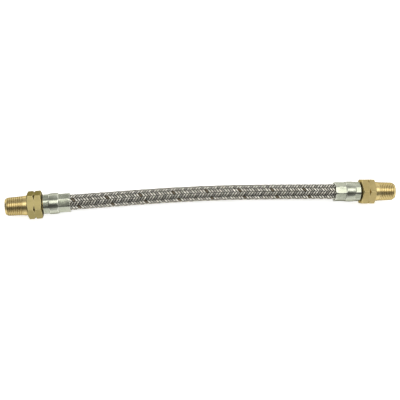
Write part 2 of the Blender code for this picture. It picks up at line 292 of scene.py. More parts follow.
def ease_corners(points, size):
    """Each corner of a profile becomes a small round with a holding point on both sides of it."""
    eased = [points[0]]
    for before, here, after in zip(points, points[1:], points[2:]):
        here = np.array(here)
        back = np.array(before) - here
        on = np.array(after) - here
        back_length = np.linalg.norm(back)
        on_length = np.linalg.norm(on)
        cut_back = min(size, back_length * CORNER_SHARE)
        cut_on = min(size, on_length * CORNER_SHARE)
        first = here + back * (cut_back / max(back_length, SHORTEST_LEG))
        last = here + on * (cut_on / max(on_length, SHORTEST_LEG))
        held_first = here + back * (HOLD_SHARE * cut_back / max(back_length, SHORTEST_LEG))
        held_last = here + on * (HOLD_SHARE * cut_on / max(on_length, SHORTEST_LEG))
        middle = (first + 2 * here + last) / 4
        eased += [tuple(point) for point in (held_first, first, middle, last, held_last)]
    eased.append(points[-1])
    return eased


CORNER_SHARE = 0.3
HOLD_SHARE = 1.6
SHORTEST_LEG = 1e-9


def polygon_radius(angle, sides, apothem, corner_round):
    """Distance to a polygon with rounded corners, a flat facing angle 0."""
    step = 2 * math.pi / sides
    from_flat = (angle + step / 2) % step - step / 2
    flat = apothem / np.cos(from_flat)
    reach = (apothem - corner_round) / math.cos(step / 2)
    from_corner = step / 2 - np.abs(from_flat)
    inside = corner_round ** 2 - (reach * np.sin(from_corner)) ** 2
    rounded = reach * np.cos(from_corner) + np.sqrt(np.maximum(inside, 0))
    tangent = corner_round * math.sin(step / 2)
    on_round = reach * np.sin(from_corner) < tangent
    return np.where(on_round, rounded, flat)


def columns_round(sides, from_corner_degrees):
    """Angles round a polygon, close together at its corners, from 0 to a full turn with both ends."""
    half = 180 / sides
    one_side = sorted({sign * (half - step) for step in from_corner_degrees for sign in (-1, 1)})
    turns = [side * 2 * half + offset for side in range(sides) for offset in one_side]
    whole = sorted({round(turn % 360, 4) for turn in turns})
    return np.radians(np.array(whole + [whole[0] + 360]))


HEX_COLUMNS = columns_round(6, (0, 0.35, 0.7, 1.2, 2.6, 5.5, 10, 15, 20, 25, 30))
FERRULE_COLUMNS = columns_round(8, (0, 0.6, 1.3, 2.2, 4, 7, 11, 15, 19, 22.5))


def lathe_points(station, radius, angle):
    return np.stack(np.broadcast_arrays(station, radius * np.sin(angle), radius * np.cos(angle)), axis=-1)


# Male pipe thread: the rows follow the helix, with a wedge of rows at each end that starts and ends it

def thread_depth_at(phase):
    """Share of the depth at a place on the pitch; the crest is at 0 and the root at a half."""
    from_crest = np.abs((phase + 0.5) % 1 - 0.5)
    flank = np.clip((from_crest - CREST_HALF) / (0.5 - CREST_HALF - ROOT_HALF), 0, 1)
    return flank * flank * (3 - 2 * flank) * FLANK_ROUNDING + flank * (1 - FLANK_ROUNDING)


CREST_HALF = 0.25
ROOT_HALF = 0.04
FLANK_ROUNDING = 0.35
PITCH_ROWS = (0, 0.12, 0.21, 0.25, 0.28, 0.35, 0.42, 0.46, 0.54, 0.58, 0.65, 0.72, 0.75, 0.79, 0.88)


def thread_radius(station, angle):
    """The tapered crest less the helical cut, which runs out towards the shank, or the tip's chamfer."""
    crest = THREAD_BASE_RADIUS - (THREAD_LENGTH - station) * THREAD_TAPER
    phase = (station - THREAD_START) / THREAD_PITCH - angle / (2 * math.pi)
    left = np.clip((THREAD_LENGTH - station) / RUN_OUT_LENGTH, 0, 1)
    cut = THREAD_DEPTH * left * left * (3 - 2 * left) * thread_depth_at(phase)
    chamfer_top = THREAD_BASE_RADIUS - (THREAD_LENGTH - TIP_CHAMFER_LENGTH) * THREAD_TAPER
    chamfer_rise = chamfer_top - THREAD_TIP_RADIUS
    chamfer = THREAD_TIP_RADIUS + chamfer_rise * station / TIP_CHAMFER_LENGTH
    return np.minimum(chamfer, crest - cut)


def thread_patches():
    """Grids of points: a strip at the tip, a wedge that starts the helix, the helix and a last wedge."""
    share = (HEX_COLUMNS - HEX_COLUMNS[0]) / (2 * math.pi)
    angle = HEX_COLUMNS[None, :]
    rise = THREAD_PITCH * share[None, :]
    rows = np.array(PITCH_ROWS + (1,))[:, None]
    turns = np.arange(THREAD_TURNS)[:, None] + np.array(PITCH_ROWS)[None, :]
    helix_rows = np.append(turns.ravel(), THREAD_TURNS)[:, None]
    end = THREAD_START + THREAD_TURNS * THREAD_PITCH
    stations = [
        THREAD_START * np.array([0, 1])[:, None] + 0 * rise,
        THREAD_START + rows * rise,
        THREAD_START + helix_rows * THREAD_PITCH + rise,
        end + rise + rows * (THREAD_PITCH - rise),
    ]
    patches = []
    for station in stations:
        turned = np.broadcast_to(angle, station.shape)
        patches.append(lathe_points(station, thread_radius(station, turned - HEX_COLUMNS[0]), turned))
    return patches, end + THREAD_PITCH


def fitting_profile(hex_radius, thread_end):
    """Turned outline behind the thread, for the hexagon's distance at one angle."""
    blank = HEX_CORNER_RADIUS + CLEARANCE
    hex_radius = min(hex_radius, blank)
    front = HEX_START + (hex_radius - HEX_FRONT_FACE_RADIUS) * math.tan(HEX_CHAMFER)
    back = HEX_END - (hex_radius - HEX_BACK_FACE_RADIUS) * math.tan(HEX_CHAMFER)
    middle = (HEX_START + HEX_END) / 2
    bottom = min(HEX_APOTHEM + HEX_GROOVE_RISE, hex_radius)
    half = (hex_radius - bottom) * math.tan(HEX_GROOVE_HALF_ANGLE)
    points = [
        (thread_end, float(thread_radius(np.array(thread_end), np.array(0.0)))),
        (THREAD_LENGTH, SHANK_RADIUS),
        (HEX_START, SHANK_RADIUS),
        (HEX_START, HEX_FRONT_FACE_RADIUS),
        (front, hex_radius),
        (middle - half, hex_radius),
        (middle, bottom),
        (middle + half, hex_radius),
        (back, hex_radius),
        (HEX_END, HEX_BACK_FACE_RADIUS),
        (HEX_END, NECK_RADIUS),
        (LOCK_START, NECK_RADIUS),
        (LOCK_START, LOCK_RADIUS),
        (LOCK_END, LOCK_RADIUS),
    ]
    root = BARB_RADIUS - BARB_DEPTH
    points.append((LOCK_END, root))
    first_barb = TAIL_END - TAIL_END_CHAMFER - (BARB_COUNT - 1) * BARB_PITCH
    for barb in range(BARB_COUNT):
        crest = first_barb + barb * BARB_PITCH
        points.append((crest - BARB_FRONT_LENGTH, root))
        points.append((crest, BARB_RADIUS))
    points += [
        (TAIL_END, root),
        (TAIL_END, BORE_RADIUS),
        (MOUTH_BORE_LENGTH + MOUTH_BORE_RADIUS - BORE_RADIUS, BORE_RADIUS),
        (MOUTH_BORE_LENGTH, MOUTH_BORE_RADIUS),
        (MOUTH_CHAMFER, MOUTH_BORE_RADIUS),
        (0, MOUTH_BORE_RADIUS + MOUTH_CHAMFER),
        (0, THREAD_TIP_RADIUS),
    ]
    return ease_corners(points, FITTING_EDGE)


FITTING_EDGE = 0.00011


def build_fitting(name, material, place, dullness):
    """The brass piece with its thread; dullness is how far the hexagon's skin has gone olive."""
    patches, thread_end = thread_patches()
    hex_radius = polygon_radius(HEX_COLUMNS, 6, HEX_APOTHEM, HEX_CORNER_ROUND)
    profiles = np.array([fitting_profile(radius, thread_end) for radius in hex_radius])
    body = lathe_points(profiles[:, :, 0].T, profiles[:, :, 1].T, HEX_COLUMNS[None, :])
    body[0] = patches[-1][-1]
    body[-1] = patches[0][0]
    points = []
    faces = []
    count = 0
    for patch in patches + [body]:
        rows, columns = patch.shape[:2]
        points.append(patch.reshape(-1, 3))
        faces.append(grid_faces(rows, columns, False) + count)
        count += rows * columns
    mesh = new_mesh(name, np.concatenate(points), np.concatenate(faces))
    weld_and_face_out(mesh)
    mark_edges(mesh, FITTING_SHARP_ANGLE)
    skin = mesh.attributes.new("dull_skin", "FLOAT", "POINT")
    skin.data.foreach_set("value", np.full(len(mesh.vertices), dullness))
    return add_object(name, mesh, material, place)


# Crimped ferrule: die-pressed flats cut into a round barrel

def soft_least(a, b, softness):
    """The lesser of two surfaces, run into each other over a small distance."""
    mixed = np.clip(0.5 + 0.5 * (b - a) / softness, 0, 1)
    return b * (1 - mixed) + a * mixed - softness * mixed * (1 - mixed)


def crowned_side(angle, apothem):
    """Octagon whose sides bulge a little towards the circle through its corners."""
    flat = polygon_radius(angle, FERRULE_SIDES, apothem, FERRULE_CORNER_ROUND)
    corner = polygon_radius(math.pi / FERRULE_SIDES, FERRULE_SIDES, apothem, FERRULE_CORNER_ROUND)
    return flat + CROWN_SHARE * (corner - flat)


CROWN_SHARE = 0.2


def ferrule_radius(station, angle, jaws):
    """Round collar between two pressed bands; jaws has how far each flat lies higher or further on."""
    back_lift, front_lift, back_shift, front_shift = jaws
    middle = (COLLAR_START + COLLAR_END) / 2
    across = np.clip(np.abs(station - middle) / (COLLAR_LENGTH / 2), 0, COLLAR_REACH)
    barrel = COLLAR_RADIUS - COLLAR_CROWN * across ** 2
    waist = (COLLAR_END + MOUTH) / 2
    from_waist = (station - waist) / (MOUTH - waist)
    rise = np.where(station > waist, WAIST_DEPTH + MOUTH_FLARE, WAIST_DEPTH)
    front_band = BAND_APOTHEM - WAIST_DEPTH + rise * from_waist ** 2
    turned = (angle + math.pi / FERRULE_SIDES) // (2 * math.pi / FERRULE_SIDES)
    flat = turned.astype(int) % FERRULE_SIDES
    back_ramp = np.clip(station - COLLAR_START + back_shift[flat], 0, None)
    front_ramp = np.clip(COLLAR_END - station + front_shift[flat], 0, None)
    back_flat = crowned_side(angle, BACK_BAND_APOTHEM + back_lift[flat])
    front_flat = crowned_side(angle, front_band + front_lift[flat])
    back_surface = back_flat + DIE_SLOPE * back_ramp + back_ramp ** 2 * DIE_CURVE
    front_surface = front_flat + DIE_SLOPE * front_ramp + front_ramp ** 2 * DIE_CURVE
    pressed = np.where(station < middle, back_surface, front_surface)
    return soft_least(pressed, barrel, BLEND_SOFTNESS)


COLLAR_REACH = 1.2
DIE_CURVE = 180
BLEND_SOFTNESS = 0.00012


def build_ferrule(name, material, place, seed):
    """The crimped sleeve, whose jaws left each flat a little out of line; seed picks how."""
    rng = np.random.default_rng(seed)
    jaws = [rng.uniform(-JAW_LIFT, JAW_LIFT, FERRULE_SIDES) for _ in range(2)]
    jaws += [rng.uniform(-JAW_SHIFT, JAW_SHIFT, FERRULE_SIDES) for _ in range(2)]
    edges = np.array(EDGE_ROWS)
    spread = np.concatenate([
        FERRULE_START + edges,
        np.linspace(FERRULE_START + BAND_MARGIN, COLLAR_START - 2 * COLLAR_MARGIN, BACK_BAND_ROWS),
        np.linspace(COLLAR_START - COLLAR_MARGIN, COLLAR_END + COLLAR_MARGIN, COLLAR_ROWS),
        np.linspace(COLLAR_END + BAND_MARGIN, MOUTH - BAND_MARGIN, FRONT_BAND_ROWS),
        MOUTH - edges[::-1],
    ])
    angle = FERRULE_COLUMNS[None, :]
    station = spread[:, None]
    all_angles = np.broadcast_to(angle, (len(spread), len(FERRULE_COLUMNS)))
    radius = ferrule_radius(station, all_angles, jaws)
    drop = np.zeros(len(spread))
    for end, sign in ((FERRULE_START, 1), (MOUTH, -1)):
        depth = np.clip(EDGE_BREAK - sign * (spread - end), 0, EDGE_BREAK)
        drop += EDGE_BREAK - np.sqrt(np.maximum(EDGE_BREAK ** 2 - depth ** 2, 0))
    radius = radius - drop[:, None] * END_ROUNDING
    flange_end = FERRULE_START + FERRULE_FLANGE
    flange_bore = NECK_RADIUS + CLEARANCE
    inner = np.array([
        (MOUTH, FERRULE_BORE_RADIUS + EDGE_BREAK * 0.6),
        (MOUTH - INNER_BREAK, FERRULE_BORE_RADIUS + EDGE_BREAK * 0.2),
        (MOUTH - EDGE_BREAK, FERRULE_BORE_RADIUS),
        (flange_end + INNER_BREAK, FERRULE_BORE_RADIUS),
        (flange_end, FERRULE_BORE_RADIUS - INNER_BREAK),
        (flange_end, flange_bore + INNER_BREAK),
        (flange_end - INNER_BREAK, flange_bore),
        (FERRULE_START + INNER_BREAK, flange_bore),
        (FERRULE_START, flange_bore + INNER_BREAK),
    ])
    outside = lathe_points(station, radius, angle)
    inside = lathe_points(inner[:, :1], inner[:, 1:], angle)
    rings = np.concatenate([outside, inside, outside[:1]])
    mesh = new_mesh(name, rings.reshape(-1, 3), grid_faces(rings.shape[0], rings.shape[1], False))
    weld_and_face_out(mesh)
    mark_edges(mesh, SHARP_ANGLE)
    return add_object(name, mesh, material, place)


END_ROUNDING = 0.8
INNER_BREAK = 0.0001
JAW_LIFT = 0.00003
JAW_SHIFT = 0.00025
EDGE_ROWS = (0, 0.00006, 0.00014, EDGE_BREAK)
BAND_MARGIN = 0.0006
COLLAR_MARGIN = 0.0002
BACK_BAND_ROWS = 7
COLLAR_ROWS = 46
FRONT_BAND_ROWS = 14


# Hose

def build_tube(route, material):
    """The rubber tube, and the line that it follows."""
    stations = np.linspace(HOSE_START, route.total - HOSE_START, TUBE_RINGS)
    angle = np.linspace(0, 2 * math.pi, TUBE_SIDES, endpoint=False)
    rings = []
    for radius, order in ((TUBE_RADIUS, 1), (TUBE_BORE_RADIUS, -1)):
        distance, turn = np.meshgrid(stations[::order], angle, indexing="ij")
        rings.append(route.wrap(distance, turn, np.full(distance.shape, radius)))
    rings.append(rings[0][:1])
    points = np.concatenate(rings)
    mesh = new_mesh("rubber_inner_tube", points.reshape(-1, 3), grid_faces(points.shape[0], TUBE_SIDES, True))
    weld_and_face_out(mesh)
    mark_edges(mesh, SHARP_ANGLE)
    return add_object("rubber_inner_tube", mesh, material), route.at(stations, route.places)


def strand_section():
    """Across one strand: place, height over its middle plane, and whether it lies between two wires."""
    half = (WIRES_PER_STRAND - 1) / 2 * WIRE_SPACING
    section = [(-half - EDGE_REACH * WIRE_RADIUS, -EDGE_DROP * WIRE_RADIUS, True)]
    for wire in range(WIRES_PER_STRAND):
        place = -half + wire * WIRE_SPACING
        section.append((place, WIRE_RADIUS, False))
        if wire < WIRES_PER_STRAND - 1:
            section.append((place + WIRE_SPACING / 2, VALLEY_SHARE * WIRE_RADIUS, True))
    section.append((half + EDGE_REACH * WIRE_RADIUS, -EDGE_DROP * WIRE_RADIUS, True))
    return section


def weave_height(column):
    """Plus one where the rising strands lie on top, minus one where they lie under, round the hose."""
    wave = np.cos(math.pi / 2 * (column - 0.5))
    return np.tanh(WEAVE_STEEPNESS * wave) / math.tanh(WEAVE_STEEPNESS)


WEAVE_STEEPNESS = 2.4
# Painted shade towards each strand's edges, added to its depth in the weave
EDGE_PAINTED_SHADE = 0.36
EDGE_REACH = 0.85
EDGE_DROP = 0.4
# The two families of strands: the rising one winds as a right-hand thread does
RISING = 0
FALLING = 1
# How bright one strand is beside the next, and one wire beside the next
STRAND_TONES = (0.52, 1.08, 0.88, 0.60, 1.06, 1.02)
TONE_STEP = 5
WIRE_TONES = (0.78, 1.0)
# Slow changes along a strand: wavelengths in metres, and the amount
WANDER = ((0.0067, 0.0113, 0.0191), 0.00007)
WIDTH_CHANGE = ((0.0051, 0.0089), 0.05)
LIFT_CHANGE = ((0.0043, 0.0079), 0.00002)
TONE_CHANGE = ((0.0131, 0.0317), 0.12)


def slow_noise(rng, along, wavelengths, amount):
    """Smooth ups and downs along a strand, up to the given amount either way."""
    total = np.zeros_like(along)
    for wavelength in wavelengths:
        total += np.sin(2 * math.pi * (along / wavelength + rng.uniform()))
    return amount * total / len(wavelengths)


def strand_grid(route, family, index, rng):
    """Grid of points along one strand, with each point's painted shade (from how deep in the weave it lies
    and how near the strand's edge) and how bright each one is.
    """
    row_step = BRAID_LAY / CARRIERS
    first = route.total / 2 - BRAID_ROWS / 2 * row_step
    samples = round((route.total - 2 * HOSE_START) / row_step) * SAMPLES_PER_CROSSING
    distance = np.linspace(HOSE_START, route.total - HOSE_START, samples + 1)
    row = (distance - first) / row_step
    turn_sign = 1 if family == RISING else -1
    centre_column = turn_sign * row + 2 * index
    circumference = 2 * math.pi * BRAID_MIDDLE_RADIUS
    strand_length = math.hypot(BRAID_LAY, circumference)
    axial = BRAID_LAY / strand_length
    round_share = circumference / strand_length
    section = strand_section()
    across = np.array([point[0] for point in section])[None, :]
    wire_height = np.array([point[1] for point in section])[None, :]
    half = np.abs(across).max()
    wander = slow_noise(rng, distance, *WANDER)[:, None]
    width = 1 + slow_noise(rng, distance, *WIDTH_CHANGE)[:, None]
    lift = slow_noise(rng, distance, *LIFT_CHANGE)[:, None]
    offset = across * width + wander
    place = distance[:, None] - turn_sign * offset * round_share
    angle_step = 2 * math.pi / CARRIERS
    column = centre_column[:, None] + offset * axial / BRAID_MIDDLE_RADIUS / angle_step
    crown = STRAND_CROWN * (1 - (across / half) ** 2) - STRAND_CROWN / 2
    level = turn_sign * weave_height(column)
    radius = BRAID_MIDDLE_RADIUS + BRAID_SWING * level + crown + wire_height + lift
    place = np.clip(place, HOSE_START, route.total - HOSE_START)
    points = route.wrap(place, WEAVE_TURN + column * angle_step, radius)
    # Painted shade: darker where the strand dives under the next one and towards its edges
    depth = np.clip(0.5 - 0.5 * level + EDGE_PAINTED_SHADE * (across / half) ** 2, 0, 1)
    wire_tone = rng.uniform(*WIRE_TONES, across.shape[1])[None, :]
    own_tone = STRAND_TONES[(TONE_STEP * index + 2 * family) % len(STRAND_TONES)]
    strand_tone = own_tone * (1 + slow_noise(rng, distance, *TONE_CHANGE))[:, None]
    return points, depth, np.broadcast_to(wire_tone * strand_tone, depth.shape)


def build_strands(name, route, family, indices, material, rng):
    """One object for several parallel strands, each a closed flat band of round wires."""
    section = strand_section()
    columns = len(section)
    between = np.array([point[2] for point in section])
    points = []
    faces = []
    painted_shades = []
    tones = []
    count = 0
    for index in indices:
        grid, depth, tone = strand_grid(route, family, index, rng)
        rows = grid.shape[0]
        quads = grid_faces(rows, columns, True)
        if family == RISING:
            quads = quads[:, ::-1]
        first_cap = list(range(count, count + columns))
        last_cap = list(range(count + (rows - 1) * columns, count + rows * columns))
        if family == RISING:
            last_cap.reverse()
        else:
            first_cap.reverse()
        points.append(grid.reshape(-1, 3))
        faces += (quads + count).tolist() + [first_cap, last_cap]
        painted_shades.append(depth.ravel())
        tones.append(tone.ravel())
        count += rows * columns
    mesh = new_mesh(name, np.concatenate(points), faces)
    ends = np.zeros(2 * len(mesh.edges), int)
    mesh.edges.foreach_get("vertices", ends)
    ends = ends.reshape(-1, 2) % columns
    sharp = (ends[:, 0] == ends[:, 1]) & between[ends[:, 0]]
    mesh.attributes.new("sharp_edge", "BOOLEAN", "EDGE").data.foreach_set("value", sharp)
    # Painted shade for the wires, carried from point to point
    mesh.attributes.new("weave_painted_shade", "FLOAT", "POINT").data.foreach_set("value", np.concatenate(painted_shades))
    mesh.attributes.new("wire_tone", "FLOAT", "POINT").data.foreach_set("value", np.concatenate(tones))
    return add_object(name, mesh, material)


# Shader helpers

def add_node(tree, kind, values=None, **settings):
    """A node with its settings; values maps each socket to a value or to another node's output."""
    node = tree.nodes.new(kind)
    for key, value in settings.items():
        setattr(node, key, value)
    for key, value in (values or {}).items():
        socket = node.inputs[key]
        if isinstance(value, bpy.types.NodeSocket):
            tree.links.new(value, socket)
        else:
            socket.default_value = value
    return node


def new_group(name, inputs, outputs):
    tree = bpy.data.node_groups.new(name, "ShaderNodeTree")
    for socket_name, kind, default in inputs:
        socket = tree.interface.new_socket(socket_name, in_out="INPUT", socket_type=kind)
        if default is not None:
            socket.default_value = default
    for socket_name, kind in outputs:
        tree.interface.new_socket(socket_name, in_out="OUTPUT", socket_type=kind)
    return tree, tree.nodes.new("NodeGroupInput"), tree.nodes.new("NodeGroupOutput")


# The span of values that holds nearly all of a noise, and the one at which a scuff is whole
NOISE_SPAN = (0.3, 0.7)
FULL_SCUFF = 0.8


def mottle_group():
    """Cloudy variation between two values."""
    tree, source, result = new_group(
        "cloudy variation",
        [
            ("Vector", "NodeSocketVector", None),
            ("Scale", "NodeSocketFloat", 200.0),
            ("Low", "NodeSocketFloat", 0.0),
            ("High", "NodeSocketFloat", 1.0),
        ],
        [("Value", "NodeSocketFloat")],
    )
    given = source.outputs
    clouds = {"Vector": given["Vector"], "Scale": given["Scale"], "Detail": 5.0, "Roughness": 0.6}
    noise = add_node(tree, "ShaderNodeTexNoise", clouds).outputs["Fac"]
    tree.links.new(graded(tree, noise, (given["Low"], given["High"]), NOISE_SPAN), result.inputs["Value"])
    return tree


def fine_lines_group():
    """Fine parallel tool lines: noise stretched along two of the object's own axes."""
    tree, source, result = new_group(
        "fine tool lines",
        [
            ("Vector", "NodeSocketVector", None),
            ("Stretch", "NodeSocketVector", (1.0, 1.0, 1.0)),
        ],
        [("Value", "NodeSocketFloat")],
    )
    given = {0: source.outputs["Vector"], 1: source.outputs["Stretch"]}
    stretched = add_node(tree, "ShaderNodeVectorMath", given, operation="MULTIPLY").outputs[0]
    lines = {"Vector": stretched, "Scale": 1.0, "Detail": 3.0, "Roughness": 0.65}
    noise = add_node(tree, "ShaderNodeTexNoise", lines).outputs["Fac"]
    tree.links.new(noise, result.inputs["Value"])
    return tree


def scuff_group():
    """Scattered short marks, as 0 on clean metal and up to 1 in a mark."""
    tree, source, result = new_group(
        "scattered scuffs",
        [
            ("Vector", "NodeSocketVector", None),
            ("Scale", "NodeSocketFloat", 300.0),
            ("Threshold", "NodeSocketFloat", 0.62),
        ],
        [("Value", "NodeSocketFloat")],
    )
    given = source.outputs
    bent = {"Vector": given["Vector"], "Scale": given["Scale"], "Detail": 2.0, "Distortion": 1.4}
    noise = add_node(tree, "ShaderNodeTexNoise", bent).outputs["Fac"]
    mark = graded(tree, noise, (0.0, 1.0), (given["Threshold"], FULL_SCUFF))
    tree.links.new(mark, result.inputs["Value"])
    return tree


def place_group(tree, group, values):
    return add_node(tree, "ShaderNodeGroup", values, node_tree=group).outputs[0]


def start_material(name):
    """A new material with its shader, and the place on the piece in the piece's own axes."""
    material = bpy.data.materials.new(name)
    material.use_nodes = True
    tree = material.node_tree
    tree.nodes.clear()
    output = add_node(tree, "ShaderNodeOutputMaterial")
    shader = add_node(tree, "ShaderNodeBsdfPrincipled")
    tree.links.new(shader.outputs[0], output.inputs["Surface"])
    place = add_node(tree, "ShaderNodeAttribute", None, attribute_name="own_place").outputs["Vector"]
    return material, tree, shader, place


def mix_colour(tree, share, first, second, blend="MIX"):
    values = {0: share, 6: first, 7: second}
    return add_node(tree, "ShaderNodeMix", values, data_type="RGBA", blend_type=blend).outputs[2]


def maths(tree, operation, first, second=0.0):
    return add_node(tree, "ShaderNodeMath", {0: first, 1: second}, operation=operation).outputs[0]


def graded(tree, value, to, within=(0.0, 1.0)):
    """Goes from the first to the second value of to, as the given value crosses within, and no further."""
    values = {0: value, 1: within[0], 2: within[1], 3: to[0], 4: to[1]}
    return add_node(tree, "ShaderNodeMapRange", values).outputs[0]


def shaded(tree, colour, value):
    """The colour, made darker or lighter by a value."""
    grey = add_node(tree, "ShaderNodeCombineColor", {0: value, 1: value, 2: value}).outputs[0]
    return mix_colour(tree, 1.0, colour, grey, "MULTIPLY")


def attribute(tree, name):
    """A value that the mesh carries from point to point."""
    return add_node(tree, "ShaderNodeAttribute", None, attribute_name=name).outputs["Fac"]


def bump(tree, height, distance):
    values = {"Height": height, "Distance": distance, "Strength": 1.0}
    return add_node(tree, "ShaderNodeBump", values).outputs[0]


# Materials: aged metal gives back less light where it is seen at a low angle

EDGE_TINT = (0.30, 0.29, 0.27, 1)
BRASS_EDGE_TINT = (0.16, 0.17, 0.20, 1)

BRASS_OLIVE = (0.31, 0.265, 0.115, 1)
BRASS_WARM = (0.70, 0.56, 0.26, 1)
BRASS_BRIGHT = (0.80, 0.68, 0.38, 1)
BRASS_AGED = (0.60, 0.46, 0.19, 1)
# Colour that the brass takes on in inner corners, which are made darker
BRASS_CORNER_DARK = (0.16, 0.10, 0.03, 1)
BRASS_WEAR = 0.6
BRASS_ROUGHNESS = (0.24, 0.36)
BRASS_RELIEF = 0.000012
HEX_EXTRA_ROUGHNESS = 0.10
HEX_MARGIN = 0.0001
# Lines of the turning tool round the axis, and of the drawn bar along it, per metre on each axis
TURNED_LINES = (9000.0, 60.0, 60.0)
DRAWN_LINES = (90.0, 5200.0, 5200.0)
LEFT_DULLNESS = 0.9
RIGHT_DULLNESS = 0.3


def brass_material(groups):
    material, tree, shader, place = start_material("turned_brass")
    station = add_node(tree, "ShaderNodeSeparateXYZ", {0: place}).outputs[0]
    past_front = maths(tree, "GREATER_THAN", station, HEX_START - HEX_MARGIN)
    before_back = maths(tree, "LESS_THAN", station, HEX_END + HEX_MARGIN)
    on_hexagon = maths(tree, "MULTIPLY", past_front, before_back)
    clouds = place_group(tree, groups["mottle"], {"Vector": place, "Scale": 260.0, "Low": 0.0, "High": 1.0})
    broad = place_group(tree, groups["mottle"], {"Vector": place, "Scale": 70.0, "Low": 0.0, "High": 1.0})
    rings = place_group(tree, groups["lines"], {"Vector": place, "Stretch": TURNED_LINES})
    drawn = place_group(tree, groups["lines"], {"Vector": place, "Stretch": DRAWN_LINES})
    both_lines = {0: on_hexagon, 2: rings, 3: drawn}
    tool_lines = add_node(tree, "ShaderNodeMix", both_lines, data_type="FLOAT").outputs[0]
    tone = mix_colour(tree, broad, BRASS_WARM, BRASS_AGED)
    dulled = maths(tree, "MULTIPLY", on_hexagon, attribute(tree, "dull_skin"))
    tone = mix_colour(tree, dulled, tone, BRASS_OLIVE)
    line_shade = graded(tree, tool_lines, (0.82, 1.08), NOISE_SPAN)
    cloud_shade = graded(tree, clouds, (0.9, 1.05))
    tone = shaded(tree, tone, maths(tree, "MULTIPLY", line_shade, cloud_shade))
    worn = maths(tree, "MULTIPLY", attribute(tree, "worn_edge"), BRASS_WEAR)
    tone = mix_colour(tree, worn, tone, BRASS_BRIGHT)
    # Darker in inner corners, in patches
    corner_darkening = maths(tree, "MULTIPLY", attribute(tree, "inner_corner"), graded(tree, clouds, (0.35, 0.8)))
    tone = mix_colour(tree, corner_darkening, tone, BRASS_CORNER_DARK)
    more_on_hexagon = maths(tree, "MULTIPLY", on_hexagon, HEX_EXTRA_ROUGHNESS)
    roughness = maths(tree, "ADD", graded(tree, clouds, BRASS_ROUGHNESS), more_on_hexagon)
    shader.inputs["Metallic"].default_value = 1.0
    shader.inputs["Specular Tint"].default_value = BRASS_EDGE_TINT
    tree.links.new(tone, shader.inputs["Base Color"])
    tree.links.new(roughness, shader.inputs["Roughness"])
    scuffs = place_group(tree, groups["scuffs"], {"Vector": place, "Scale": 420.0, "Threshold": 0.60})
    relief = maths(tree, "SUBTRACT", tool_lines, maths(tree, "MULTIPLY", scuffs, 1.5))
    tree.links.new(bump(tree, relief, BRASS_RELIEF), shader.inputs["Normal"])
    return material


PLATED_CLEAN = (0.44, 0.45, 0.37, 1)
PLATED_GREENISH = (0.31, 0.335, 0.25, 1)
PLATED_BRIGHT = (0.80, 0.81, 0.72, 1)
# Colour of the scuffs, and of the darkening in inner corners
PLATED_DIRT_AND_CORNER_DARK = (0.12, 0.11, 0.09, 1)
PLATED_WEAR = 0.7
PLATED_CORNER_DARKENING = 0.6
PLATED_SCUFF_DIRT = 0.35
PLATED_ROUGHNESS = (0.13, 0.26)
PLATED_RELIEF = 0.00004


def plated_material(groups):
    material, tree, shader, place = start_material("crimped_plated_steel")
    clouds = place_group(tree, groups["mottle"], {"Vector": place, "Scale": 330.0, "Low": 0.0, "High": 1.0})
    broad = place_group(tree, groups["mottle"], {"Vector": place, "Scale": 110.0, "Low": 0.0, "High": 1.0})
    scuffs = place_group(tree, groups["scuffs"], {"Vector": place, "Scale": 520.0, "Threshold": 0.58})
    tone = mix_colour(tree, broad, PLATED_CLEAN, PLATED_GREENISH)
    marks = (
        (attribute(tree, "worn_edge"), PLATED_WEAR, PLATED_BRIGHT),
        # Darker in inner corners
        (attribute(tree, "inner_corner"), PLATED_CORNER_DARKENING, PLATED_DIRT_AND_CORNER_DARK),
        (scuffs, PLATED_SCUFF_DIRT, PLATED_DIRT_AND_CORNER_DARK),
    )
    for mark, amount, colour in marks:
        tone = mix_colour(tree, maths(tree, "MULTIPLY", mark, amount), tone, colour)
    roughness = graded(tree, clouds, PLATED_ROUGHNESS)
    shader.inputs["Metallic"].default_value = 1.0
    shader.inputs["Specular Tint"].default_value = EDGE_TINT
    tree.links.new(tone, shader.inputs["Base Color"])
    tree.links.new(roughness, shader.inputs["Roughness"])
    relief = maths(tree, "SUBTRACT", clouds, maths(tree, "MULTIPLY", scuffs, 0.8))
    tree.links.new(bump(tree, relief, PLATED_RELIEF), shader.inputs["Normal"])
    return material


WIRE_BRIGHT = (0.93, 0.91, 0.83, 1)
WIRE_WARM = (0.84, 0.80, 0.68, 1)
# Painted shade colour for wire that lies deep in the weave
WIRE_PAINTED_SHADE = (0.010, 0.009, 0.006, 1)
TRACER_BRIGHT = (0.54, 0.45, 0.33, 1)
TRACER_WARM = (0.42, 0.34, 0.23, 1)
TRACER_METALLIC = 0.7
WIRE_ROUGHNESS = (0.24, 0.34)
WIRE_RELIEF = 0.000006
WIRE_GRAIN = (2600.0, 2600.0, 2600.0)
# Painted shade: the depths in the weave, with a strand's edges counted deeper, over which a wire goes dark,
# and how dark it goes
PAINTED_SHADE_SPAN = (0.06, 0.66)
DEEPEST_PAINTED_SHADE = 0.98


